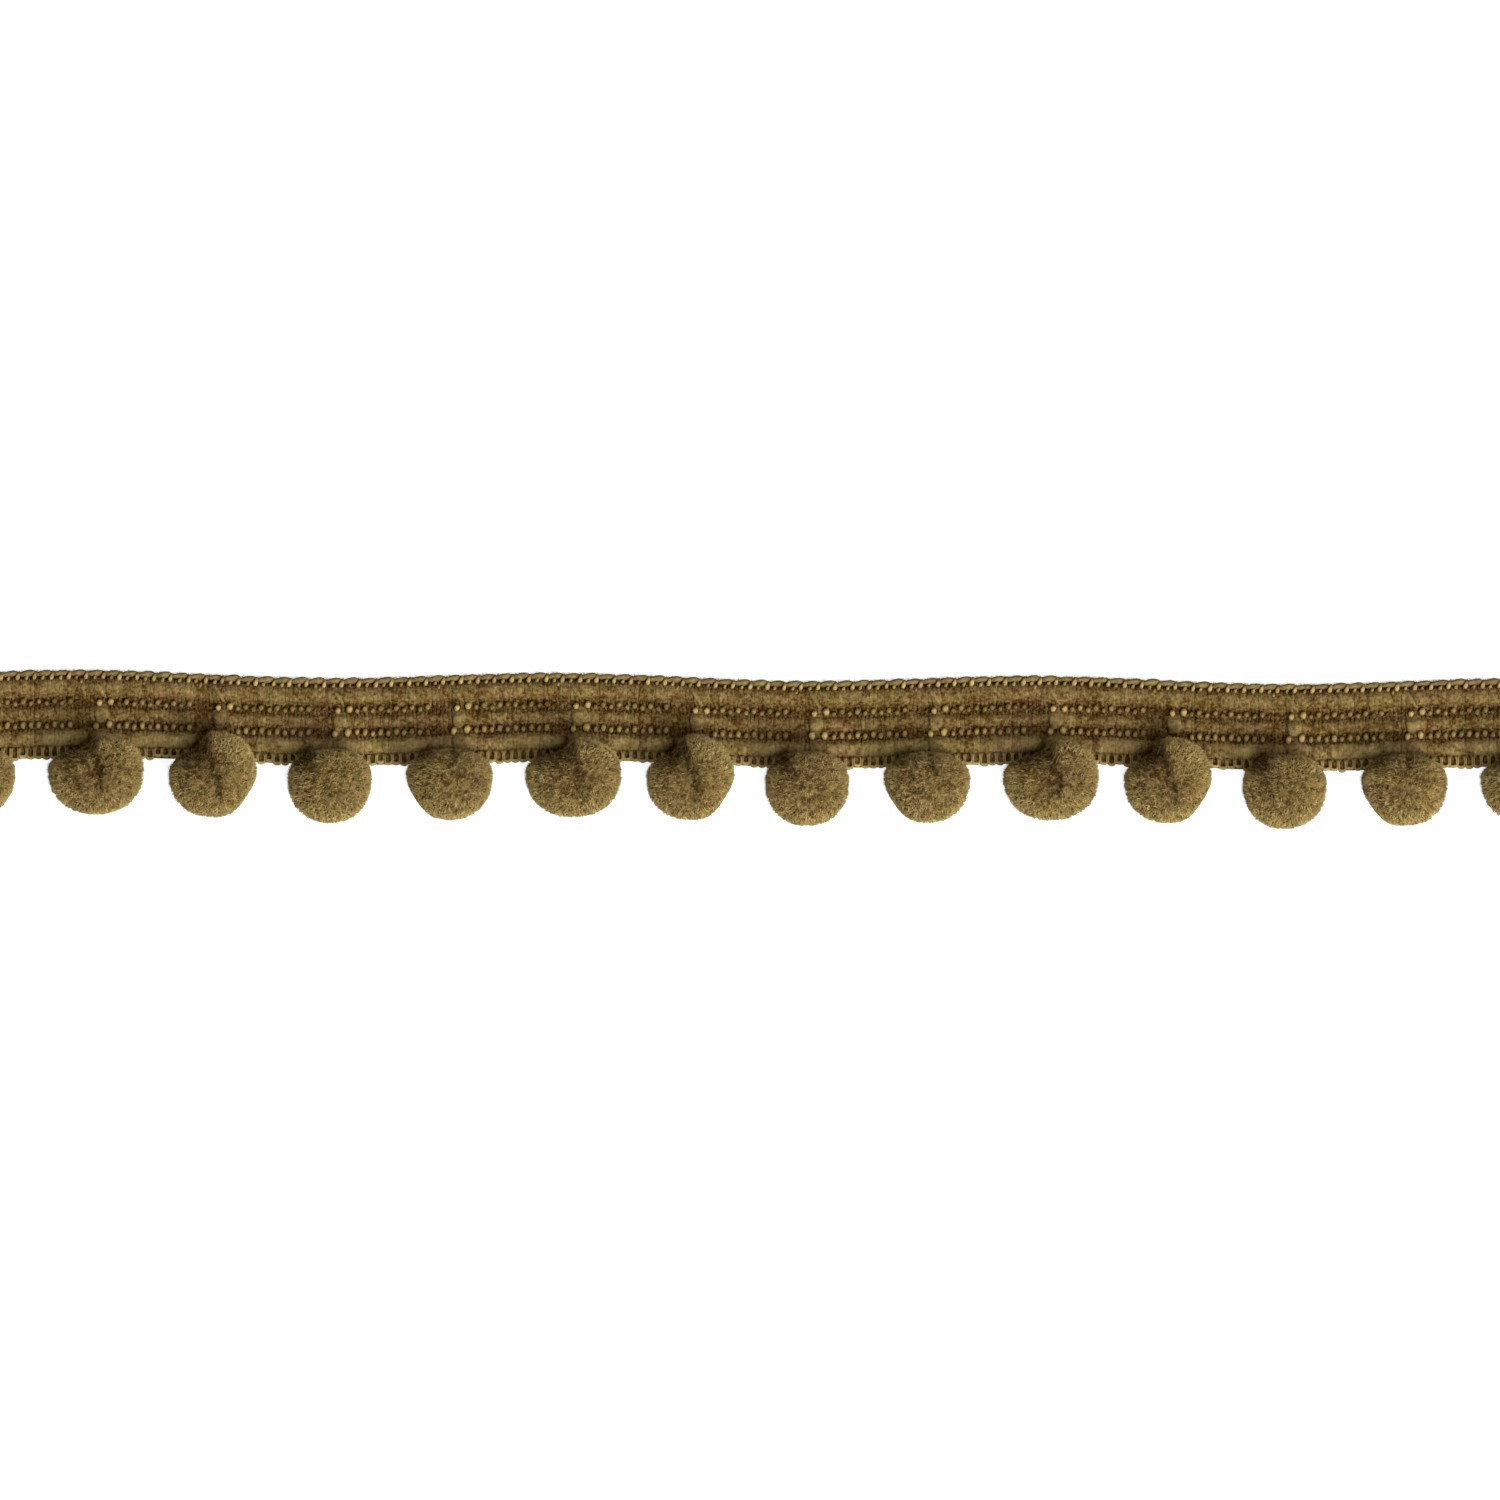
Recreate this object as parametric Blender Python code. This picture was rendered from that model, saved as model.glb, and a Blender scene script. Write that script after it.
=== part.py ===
"""Pompom fringe trim: a straight cut length that lies on its back, face up. Metres, +Z up.

A knitted heading tape runs along X. Its far edge is corded and its near edge is looped, and two sunk rows of
stitches part the puffed bands between them. Cut-pile pompoms are bound to the looped edge, one each pitch, and
their pile folds over it. The origin lies on the surface that the trim rests on, under the middle of its box.
"""

import math
import random
from collections import namedtuple

import bmesh
import bpy
from mathutils import Vector

MM = 0.001

# Driving dimensions of the trim
POMPOM_COUNT = 14
PITCH = 14.3 * MM
CUT_LENGTH = POMPOM_COUNT * PITCH
GAP = 0.3 * MM

# How the trim lies: it slopes a little and waves once in every four pompoms
SLOPE = -0.0062
WAVE_HEIGHT = 0.40 * MM
WAVE_LENGTH = 4 * PITCH
WAVE_DIP_X = -51.0 * MM

# The heading's section: its flat back is narrower than its face by EDGE_INSET at each edge, and its face rises from
# EDGE_HEIGHT at the edges and from VALLEY_HEIGHT between two ribs. A lower PUFF makes fuller ribs.
EDGE_INSET = 0.35 * MM
EDGE_HEIGHT = 0.70 * MM
VALLEY_HEIGHT = 1.15 * MM
PUFF = 0.7

# The corded edge's twist: each turn of a strand has a station on the strand and one beside it
TURNS_IN_PITCH = 7
STATIONS_IN_PITCH = 2 * TURNS_IN_PITCH
CORD_STEPS = 3
TWIST_DEPTH = 0.13 * MM
TWIST_SLANT = 0.35 * MM

# The binding yarn that lifts the heading's face beside each pompom
BINDING_OFFSET = 1.2 * MM
BINDING_RISE = 0.25 * MM
BINDING_HALF_WIDTH = 0.8 * MM

# Ribs across the heading, from the corded edge to the looped one, each with its width and its crown's height
Rib = namedtuple("Rib", "name width crown steps")
RIBS = (
    Rib("corded edge", 1.3 * MM, 1.70 * MM, CORD_STEPS),
    Rib("far band", 1.8 * MM, 1.80 * MM, 3),
    Rib("far stitch row", 1.4 * MM, 1.35 * MM, 2),
    Rib("middle band", 1.4 * MM, 1.75 * MM, 3),
    Rib("near stitch row", 1.7 * MM, 1.35 * MM, 2),
    Rib("near band", 1.2 * MM, 1.70 * MM, 3),
    Rib("looped edge", 1.6 * MM, 1.40 * MM, 2),
)
HEADING_WIDTH = sum(rib.width for rib in RIBS)
HEADING_TOP = max(rib.crown for rib in RIBS) + BINDING_RISE

# The pompoms, whose four forms come again along the trim. Lengths are in plan, from the pompom's place on the
# looped edge: shift is along X, reach is below the edge and lap above it. The pile is pressed in on one side, at
# pressed_at from the centre, towards pressed_towards (degrees from +X, with +Y at 90).
Form = namedtuple("Form", "name shift half_width reach lap pressed_towards pressed_at")
FORMS = (
    Form("broad", 0.15 * MM, 5.7 * MM, 6.7 * MM, 3.0 * MM, 114, 3.9 * MM),
    Form("slanted", 0.0 * MM, 5.2 * MM, 6.6 * MM, 3.1 * MM, -35, 4.2 * MM),
    Form("round", -0.35 * MM, 5.0 * MM, 6.9 * MM, 2.2 * MM, 90, 3.6 * MM),
    Form("tapered", -0.3 * MM, 5.1 * MM, 6.9 * MM, 2.1 * MM, -145, 4.5 * MM),
)
CENTRE_DROP = 1.7 * MM
CENTRE_HEIGHT = 4.5 * MM
HALF_HEIGHT = 4.7 * MM
PRESS_SHARE = 0.8

# Locks of pile: puffed patches that part from each other in creases. Lengths are shares of the pompom's size.
LOCKS_IN_POMPOM = 18
LOCK_JITTER = 0.12
LOCK_UNEVENNESS = 0.02
CREASE_DEPTH = 0.07
CREASE_SHARE = 0.35
GOLDEN_ANGLE = math.pi * (3 - math.sqrt(5))

# Colours are linear red, green and blue
HEADING_COLOUR = (0.175, 0.118, 0.047)
HEADING_ROUGHNESS = 0.85
PILE_COLOUR = (0.195, 0.128, 0.042)
PILE_ROUGHNESS = 0.95


def lie(x):
    """Y of the heading's midline at x, before the trim is centred on its box."""
    phase = 2 * math.pi * (x - WAVE_DIP_X) / WAVE_LENGTH
    return SLOPE * x - WAVE_HEIGHT * math.cos(phase)


def pompom_x(index):
    return (index - (POMPOM_COUNT - 1) / 2) * PITCH


def pompom_form(index):
    """The cut length starts with the last form of the four."""
    return FORMS[(index - 1) % len(FORMS)]


def station_xs():
    count = POMPOM_COUNT * STATIONS_IN_PITCH
    return [CUT_LENGTH * (step / count - 0.5) for step in range(count + 1)]


def fabric(name, colour, roughness):
    material = bpy.data.materials.new(name)
    material.use_nodes = True
    shader = material.node_tree.nodes["Principled BSDF"]
    shader.inputs["Base Color"].default_value = (*colour, 1)
    shader.inputs["Roughness"].default_value = roughness
    shader.inputs["Metallic"].default_value = 0
    return material


def add_object(name, mesh, trim, material=None):
    obj = bpy.data.objects.new(name, mesh)
    bpy.context.scene.collection.objects.link(obj)
    obj.parent = trim
    if material:
        mesh.materials.append(material)
    return obj


def lofted_mesh(name, sections):
    """A closed mesh through sections, which are rings of as many points each, with a flat cap at both ends."""
    bm = bmesh.new()
    rings = [[bm.verts.new(point) for point in section] for section in sections]
    around = len(rings[0])
    for ring, following in zip(rings, rings[1:]):
        for k in range(around):
            after = (k + 1) % around
            bm.faces.new((ring[k], ring[after], following[after], following[k]))
    bm.faces.new(rings[0])
    bm.faces.new(rings[-1])
    bmesh.ops.recalc_face_normals(bm, faces=bm.faces)
    mesh = bpy.data.meshes.new(name)
    bm.to_mesh(mesh)
    bm.free()
    return mesh


def rib_heights():
    """Points over the heading's face, as (distance from the corded edge, height, rib's number)."""
    points = []
    start = 0.0
    for number, rib in enumerate(RIBS):
        first, last = number == 0, number == len(RIBS) - 1
        for step in range(rib.steps + last):
            share = step / rib.steps
            low = EDGE_HEIGHT if (first and share < 0.5) or (last and share > 0.5) else VALLEY_HEIGHT
            rise = (rib.crown - low) * math.sin(math.pi * share) ** PUFF
            points.append((start + rib.width * share, low + rise, number))
        start += rib.width
    return points


def binding_rise(x):
    """How far the nearest binding yarn lifts the heading's face at x."""
    nearest = min(abs(x - pompom_x(k) - BINDING_OFFSET) for k in range(POMPOM_COUNT))
    return BINDING_RISE * math.exp(-((nearest / BINDING_HALF_WIDTH) ** 2))


def heading_section(x, turn, at_end):
    """The ring of points round the heading at x.

    turn is 1 on a strand of the corded edge and -1 between two strands. The ends are cut square.
    """
    far = lie(x) + HEADING_WIDTH / 2
    ring = [Vector((x, far - EDGE_INSET, 0))]
    for order, (across, height, rib) in enumerate(rib_heights()):
        slant = 0.0
        if order <= CORD_STEPS:
            share = 1 - order / CORD_STEPS
            slant = 0.0 if at_end else TWIST_SLANT * (2 * share - 1)
            across -= turn * TWIST_DEPTH * share
            height += turn * TWIST_DEPTH * math.sin(math.pi * share)
        elif rib < len(RIBS) - 1:
            height += binding_rise(x)
        ring.append(Vector((x + slant, far - across, height)))
    ring.append(Vector((x, far - HEADING_WIDTH + EDGE_INSET, 0)))
    return ring


def build_heading(trim, material):
    xs = station_xs()
    last = len(xs) - 1
    sections = []
    for step, x in enumerate(xs):
        turn = 1 if step % 2 else -1
        sections.append(heading_section(x, turn, step in (0, last)))
    return add_object("heading", lofted_mesh("heading", sections), trim, material)


def build_clearance(trim):
    """The space that the heading keeps free of pile: the cutter that parts each pompom round the looped edge."""
    sections = []
    for x in station_xs():
        low = lie(x) - HEADING_WIDTH / 2 - GAP
        high = lie(x) + HEADING_WIDTH
        top = HEADING_TOP + GAP
        corners = ((low, -top), (low, top), (high, top), (high, -top))
        sections.append([Vector((x, y, z)) for y, z in corners])
    cutter = add_object("heading_clearance", lofted_mesh("heading_clearance", sections), trim)
    cutter.hide_render = True
    cutter.display_type = "WIRE"
    return cutter


def lock_directions(draw):
    """Directions spread evenly over a ball and then moved a little, one for each lock of pile."""
    turned = draw.uniform(0, 2 * math.pi)
    directions = []
    for k in range(LOCKS_IN_POMPOM):
        height = 1 - 2 * (k + 0.5) / LOCKS_IN_POMPOM
        ring = math.sqrt(1 - height * height)
        angle = turned + GOLDEN_ANGLE * k
        jitter = Vector([draw.uniform(-LOCK_JITTER, LOCK_JITTER) for axis in range(3)])
        even = Vector((ring * math.cos(angle), ring * math.sin(angle), height))
        directions.append((even + jitter).normalized())
    return directions


def crease_points(hull, ball):
    """Points in the creases round the locks: at the middle of each three locks, and of each two."""
    points = {}
    for face in hull.faces:
        points[face] = ball.verts.new(face.normal * (1 - CREASE_DEPTH))
    for edge in hull.edges:
        middle = sum((face.normal for face in edge.link_faces), Vector()).normalized()
        points[edge] = ball.verts.new(middle * (1 - CREASE_DEPTH))
    return points


def add_lock(ball, direction, crease, height):
    """A dome over one lock, from the crease round it to its crown."""
    across = direction.orthogonal().normalized()
    along = direction.cross(across)
    crease = sorted(crease, key=lambda vert: math.atan2(vert.co.dot(along), vert.co.dot(across)))
    rim = [ball.verts.new(vert.co.lerp(direction, CREASE_SHARE).normalized() * height) for vert in crease]
    crown = ball.verts.new(direction * height)
    for k in range(len(crease)):
        after = (k + 1) % len(crease)
        ball.faces.new((crease[k], crease[after], rim[after], rim[k]))
        ball.faces.new((rim[k], rim[after], crown))


def ball_of_locks(draw):
    """A ball of unit size, whose locks meet in creases."""
    hull = bmesh.new()
    for direction in lock_directions(draw):
        hull.verts.new(direction)
    bmesh.ops.convex_hull(hull, input=hull.verts)
    hull.normal_update()
    ball = bmesh.new()
    points = crease_points(hull, ball)
    for lock in hull.verts:
        crease = [points[piece] for piece in (*lock.link_faces, *lock.link_edges)]
        add_lock(ball, lock.co, crease, 1 + draw.uniform(-LOCK_UNEVENNESS, LOCK_UNEVENNESS))
    hull.free()
    return ball


def pile_point(place, form):
    """Where a point of the unit ball of locks lies on the pompom, from the pompom's centre."""
    towards_heading = form.lap + CENTRE_DROP
    away = form.reach - CENTRE_DROP
    point = place * Vector((form.half_width, towards_heading if place.y > 0 else away, HALF_HEIGHT))
    angle = math.radians(form.pressed_towards)
    pressed = Vector((math.cos(angle), math.sin(angle), 0))
    excess = point.dot(pressed) - form.pressed_at
    if excess > 0:
        point -= pressed * excess * PRESS_SHARE
    point.z = max(point.z, -CENTRE_HEIGHT)
    return point


def pompom_mesh(name, form, seed):
    ball = ball_of_locks(random.Random(seed))
    for vert in ball.verts:
        vert.co = pile_point(vert.co, form)
    mesh = bpy.data.meshes.new(name)
    ball.to_mesh(mesh)
    ball.free()
    mesh.shade_smooth()
    return mesh


def build_pompom(index, trim, material, clearance):
    name = f"pompom_{index + 1:02d}"
    form = pompom_form(index)
    x = pompom_x(index) + form.shift
    pompom = add_object(name, pompom_mesh(name, form, index + 1), trim, material)
    pompom.location = (x, lie(x) - HEADING_WIDTH / 2 - CENTRE_DROP, CENTRE_HEIGHT)
    notch = pompom.modifiers.new("heading clearance", "BOOLEAN")
    notch.operation = "DIFFERENCE"
    notch.object = clearance
    return pompom


def centre_footprint(trim):
    """Moves the trim so that its origin is under the middle of its box."""
    pieces = [child for child in trim.children if not child.hide_render]
    ys = [piece.location.y + vert.co.y for piece in pieces for vert in piece.data.vertices]
    trim.location.y = -(min(ys) + max(ys)) / 2


def main():
    for obj in list(bpy.data.objects):
        bpy.data.objects.remove(obj)
    trim = bpy.data.objects.new("trim", None)
    bpy.context.scene.collection.objects.link(trim)
    heading_yarn = fabric("heading_yarn", HEADING_COLOUR, HEADING_ROUGHNESS)
    pompom_pile = fabric("pompom_pile", PILE_COLOUR, PILE_ROUGHNESS)
    build_heading(trim, heading_yarn)
    clearance = build_clearance(trim)
    for index in range(POMPOM_COUNT):
        build_pompom(index, trim, pompom_pile, clearance)
    centre_footprint(trim)


main()
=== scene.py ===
"""Dresses the pompom fringe trim. Metres, +Z up, in the CAD model's frame.

The heading is built as it is knitted: inlaid yarns cross it and turn in loops at its near edge, two rows of
chain stitches bind them down, and a soft cord is tied along its far edge. A flat binding yarn crosses it at
each pompom. The pompoms are cut pile on a core.
"""

import math
from collections import namedtuple

import bpy
import numpy as np
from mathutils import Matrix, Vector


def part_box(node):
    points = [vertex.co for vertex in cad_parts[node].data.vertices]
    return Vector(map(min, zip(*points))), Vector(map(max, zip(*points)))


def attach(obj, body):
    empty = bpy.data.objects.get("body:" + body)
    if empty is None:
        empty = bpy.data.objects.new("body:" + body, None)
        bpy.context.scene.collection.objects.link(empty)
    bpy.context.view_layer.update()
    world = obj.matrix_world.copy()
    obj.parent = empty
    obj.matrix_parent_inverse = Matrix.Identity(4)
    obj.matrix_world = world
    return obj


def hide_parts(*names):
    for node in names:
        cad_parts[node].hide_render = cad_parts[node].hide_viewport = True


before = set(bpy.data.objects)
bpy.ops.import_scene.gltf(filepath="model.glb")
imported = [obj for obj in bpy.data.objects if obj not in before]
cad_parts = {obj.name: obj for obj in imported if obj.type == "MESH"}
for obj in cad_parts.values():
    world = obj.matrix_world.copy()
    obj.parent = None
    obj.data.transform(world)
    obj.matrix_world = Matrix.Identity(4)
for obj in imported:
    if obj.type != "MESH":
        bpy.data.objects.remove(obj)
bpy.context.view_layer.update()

MM = 0.001
UP = np.array((0.0, 0.0, 1.0))
ALONG = np.array((1.0, 0.0, 0.0))


def mm(*lengths):
    """Lengths in millimetres, as metres."""
    return tuple(length * MM for length in lengths)


# Driving dimensions, as in the CAD model
POMPOM_COUNT = 14
PITCH = 14.3 * MM
CUT_LENGTH = POMPOM_COUNT * PITCH
SLOPE = -0.0062
WAVE_HEIGHT = 0.40 * MM
WAVE_LENGTH = 4 * PITCH
WAVE_DIP_X = -51.0 * MM
TWIST_DEPTH = 0.13 * MM

# Ribs across the heading, from the corded edge to the looped one. The yarns dip under the stitches of a row.
Rib = namedtuple("Rib", "name width crown")
RIBS = (
    Rib("corded edge", 1.15 * MM, 0.75 * MM),
    Rib("far band", 1.95 * MM, 1.85 * MM),
    Rib("far stitch row", 1.5 * MM, 0.75 * MM),
    Rib("middle band", 1.3 * MM, 1.50 * MM),
    Rib("near stitch row", 1.45 * MM, 0.70 * MM),
    Rib("near band", 1.80 * MM, 1.75 * MM),
    Rib("looped edge", 1.25 * MM, 0.75 * MM),
)
HEADING_WIDTH = sum(rib.width for rib in RIBS)
VALLEY_HEIGHT = 0.90 * MM
PUFF = 0.6
MIDDLE_BAND = sum(rib.width for rib in RIBS[:3]) + RIBS[3].width / 2
FAR_ROW = sum(rib.width for rib in RIBS[:2]) + RIBS[2].width / 2 + 0.05 * MM
NEAR_ROW = sum(rib.width for rib in RIBS[:4]) + RIBS[4].width / 2 + 0.05 * MM
BAND_START = RIBS[0].width
BAND_END = HEADING_WIDTH - RIBS[-1].width
LOOPS_END = HEADING_WIDTH + 0.1 * MM

# The heading's face swells under the binding yarn beside each pompom, and sinks before it
BINDING_OFFSET = 1.3 * MM
BINDING_RISE = 0.28 * MM
BINDING_HALF_WIDTH = 1.0 * MM

# Swells and pits of the face fade towards the corded edge, from SWELL_FULL to SWELL_START, and in the grooves
SWELL_START = 0.6 * MM
SWELL_FULL = 2.4 * MM
PIT_LOWEST = 0.5 * MM
PIT_SHADE = 0.95
DARKEST_PIT = 0.1

# Seeds of the random draws
YARN_SEED = 11
STITCH_SEED = 12
CORD_SEED = 13
BINDING_SEED = 14
FUZZ_SEED = 15
PILE_SEED = 100

# Knitting, and the swellings of the cord along the far edge
COURSES_IN_PITCH = 15
COURSE = PITCH / COURSES_IN_PITCH
SWELLINGS_IN_PITCH = 7
SWELLING = PITCH / SWELLINGS_IN_PITCH

# The pompoms' four forms, near those of the CAD model. The pile laps over the heading by one length on the
# left half and by another on the right. It is pressed in on one side, at pressed_at from the centre, towards
# pressed_towards (degrees from +X, with +Y at 90). A crease parts the two halves, with a gentle slope on its
# left. Patches darken or lighten the pile: painted shadow on its upper left, painted light on its lit right
# and darker middles; a patch's shade also darkens the fibres as painted shade. Creases and patches are given
# in plan from the pompom's centre. Pits are hollows in the heading beside the pompom, given by their offset
# along the heading and their distance from its corded edge.
Form = namedtuple("Form", "name shift half_width reach lap_left lap_right pressed_at pressed_towards "
                          "crease patches pits")
Crease = namedtuple("Crease", "start end half_width left_width depth")
Patch = namedtuple("Patch", "place radius tone shade")
Pit = namedtuple("Pit", "offset across half_width half_length depth")
FORMS = (
    Form("broad", *mm(0.30, 5.7, 6.95, 1.0, 2.7, 3.9), 114,
         Crease(mm(-0.5, 4.6), mm(0.7, -1.6), *mm(0.5, 1.6, 1.0)),
         (Patch(mm(-1.0, -0.1), 2.8 * MM, -0.20, 0), Patch(mm(0.6, -0.6), 1.1 * MM, -0.25, 0.1),
          Patch(mm(-2.8, 3.0), 1.9 * MM, -0.3, 0.3), Patch(mm(3.2, 2.0), 2.2 * MM, 0.04, 0)),
         (Pit(*mm(-2.9, 3.2, 1.8, 1.8, 0.35)), Pit(*mm(-5.0, 3.85, 3.6, 0.55, 0.28)),
          Pit(*mm(-0.5, 8.2, 0.7, 1.0, 0.8)), Pit(*mm(-2.3, 9.6, 1.5, 0.5, 0.6)))),
    Form("slanted", *mm(0.05, 5.25, 6.75, 1.5, 3.5, 4.5), -33,
         Crease(mm(-1.2, 5.0), mm(0.8, -1.8), *mm(0.4, 1.4, 1.1)),
         (Patch(mm(-1.4, 1.0), 2.4 * MM, -0.18, 0.1), Patch(mm(-2.3, 2.9), 1.7 * MM, -0.3, 0.4),
          Patch(mm(2.2, 2.6), 2.4 * MM, 0.12, 0), Patch(mm(3.4, -0.8), 1.8 * MM, 0.14, 0),
          Patch(mm(0.7, -0.6), 1.1 * MM, -0.18, 0)),
         (Pit(*mm(-1.2, 4.8, 1.0, 3.0, 0.4)), Pit(*mm(-1.9, 8.8, 1.3, 1.2, 0.9)))),
    Form("round", *mm(-0.30, 5.0, 7.0, 1.8, 2.0, 3.6), 90,
         Crease(mm(-3.4, 3.4), mm(-2.2, 1.6), *mm(0.5, 1.0, 0.3)),
         (Patch(mm(-3.5, 2.8), 1.3 * MM, -0.4, 0.55), Patch(mm(-1.8, 0.4), 2.0 * MM, -0.12, 0),
          Patch(mm(1.6, 0.8), 2.2 * MM, 0.07, 0)),
         (Pit(*mm(-1.4, 5.5, 0.9, 3.0, 0.25)), Pit(*mm(-3.5, 3.75, 3.2, 0.45, 0.25)),
          Pit(*mm(-3.1, 9.0, 1.15, 1.1, 0.9)))),
    Form("tapered", *mm(-0.25, 5.15, 7.0, 1.5, 1.5, 4.8), -145,
         Crease(mm(0.4, 3.6), mm(0.5, 2.0), *mm(0.4, 0.5, 0.6)),
         (Patch(mm(0.6, 2.2), 1.8 * MM, -0.12, 0), Patch(mm(-3.6, 2.6), 1.1 * MM, -0.2, 0.15)),
         (Pit(*mm(-1.6, 5.5, 0.8, 3.0, 0.20)), Pit(*mm(-0.5, 3.7, 0.6, 0.5, 0.35)),
          Pit(*mm(-2.9, 8.9, 1.2, 0.5, 0.4)), Pit(*mm(5.2, 6.9, 1.8, 0.6, 0.25)))),
)
CENTRE_DROP = 1.7 * MM
CENTRE_HEIGHT = 4.5 * MM
HALF_HEIGHT = 4.7 * MM
PRESS_SHARE = 0.75
FULLNESS = 2.2
PRESS_SOFTNESS = 0.3 * MM
CREASE_FADING = 0.35
HEADING_TOP = 2.15 * MM
# The pile is painted lighter on the side that faces the lamps, which lies this way in plan, and darker on the
# other: painted light and shade
PAINTED_LIGHT_TOWARDS = np.array((0.6, -0.8, 0))
GOLDEN_ANGLE = math.pi * (3 - math.sqrt(5))


def normalised(vectors):
    return vectors / np.linalg.norm(vectors, axis=-1, keepdims=True)


def smooth_step(values, low, high):
    share = np.clip((values - low) / (high - low), 0, 1)
    return share * share * (3 - 2 * share)


def lie_shape(x):
    phase = 2 * math.pi * (x - WAVE_DIP_X) / WAVE_LENGTH
    return SLOPE * x - WAVE_HEIGHT * np.cos(phase)


XS_ALONG = np.linspace(-CUT_LENGTH / 2, CUT_LENGTH / 2, 400)
FAR_EDGE_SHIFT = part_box("heading")[1][1] - TWIST_DEPTH - lie_shape(XS_ALONG).max()


def far_edge(x):
    """Y of the heading's corded edge at x."""
    return lie_shape(x) + FAR_EDGE_SHIFT


def pompom_x(index):
    return (index - (POMPOM_COUNT - 1) / 2) * PITCH


def pompom_form(index):
    """The cut length starts with the last form of the four."""
    return FORMS[(index - 1) % len(FORMS)]


POMPOM_XS = pompom_x(np.arange(POMPOM_COUNT))
PITS = np.array([(pompom_x(index) + pit.offset, *pit[1:]) for index in range(POMPOM_COUNT)
                 for pit in pompom_form(index).pits]).T


def face_profile():
    """Distances from the corded edge and heights of the yarns' upper side, along the heading's section."""
    distances, heights = [], []
    start = 0.0
    for rib in RIBS:
        shares = np.linspace(0, 1, 13)
        distances.append(start + rib.width * shares)
        heights.append(VALLEY_HEIGHT + (rib.crown - VALLEY_HEIGHT) * np.sin(math.pi * shares) ** PUFF)
        start += rib.width
    return np.concatenate(distances), np.concatenate(heights)


FACE_DISTANCES, FACE_HEIGHTS = face_profile()


def face(across):
    return np.interp(across, FACE_DISTANCES, FACE_HEIGHTS)


def pit_depth(x, across):
    """How deep the pits are at a place on the heading."""
    xs, places, half_widths, half_lengths, depths = PITS
    spans = ((x[..., None] - xs) / half_widths) ** 2 + ((across[..., None] - places) / half_lengths) ** 2
    return (depths * np.exp(-spans)).sum(axis=-1)


def near_each_pompom(x, offset, half_width):
    """Soft peaks of height 1 along the heading, one at the same offset from each pompom."""
    return np.exp(-(((x[..., None] - POMPOM_XS - offset) / half_width) ** 2)).sum(axis=-1)


def relief(x, across):
    """How far the bindings lift the heading's face at x, or a pit sinks it."""
    rise = BINDING_RISE * near_each_pompom(x, BINDING_OFFSET, BINDING_HALF_WIDTH)
    inside = smooth_step(across, SWELL_START, SWELL_FULL) * (1 - smooth_step(across, BAND_END, HEADING_WIDTH))
    pit_share = np.clip((face(across) - PIT_LOWEST) / MM, 0, 1)
    return rise * inside - pit_depth(x, across) * pit_share


def painted_light_and_shade_by_pompoms(x, across):
    """How much painted light lifts the near band's yarns on each pompom's left, where the pompom's shadow
    falls, and how much painted shade darkens them on its right.
    """
    left = near_each_pompom(x, *mm(-4.6, 1.3))
    right = near_each_pompom(x, *mm(4.2, 1.6))
    past_row = (across - NEAR_ROW) / MM
    lighter = 0.24 * smooth_step(past_row, 0.9, 1.5)
    darker = 0.11 * smooth_step(past_row, 0.2, 0.8) + 0.10 * smooth_step(past_row, 0.9, 1.6)
    return lighter * left - darker * right


def pit_shade(x, across):
    """How much darker the yarns are in a pit."""
    return np.clip(1 - PIT_SHADE * pit_depth(x, across) / MM, DARKEST_PIT, 1)


TRIANGLE_CORNERS = (0, 2.0944, 4.1888)


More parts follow.
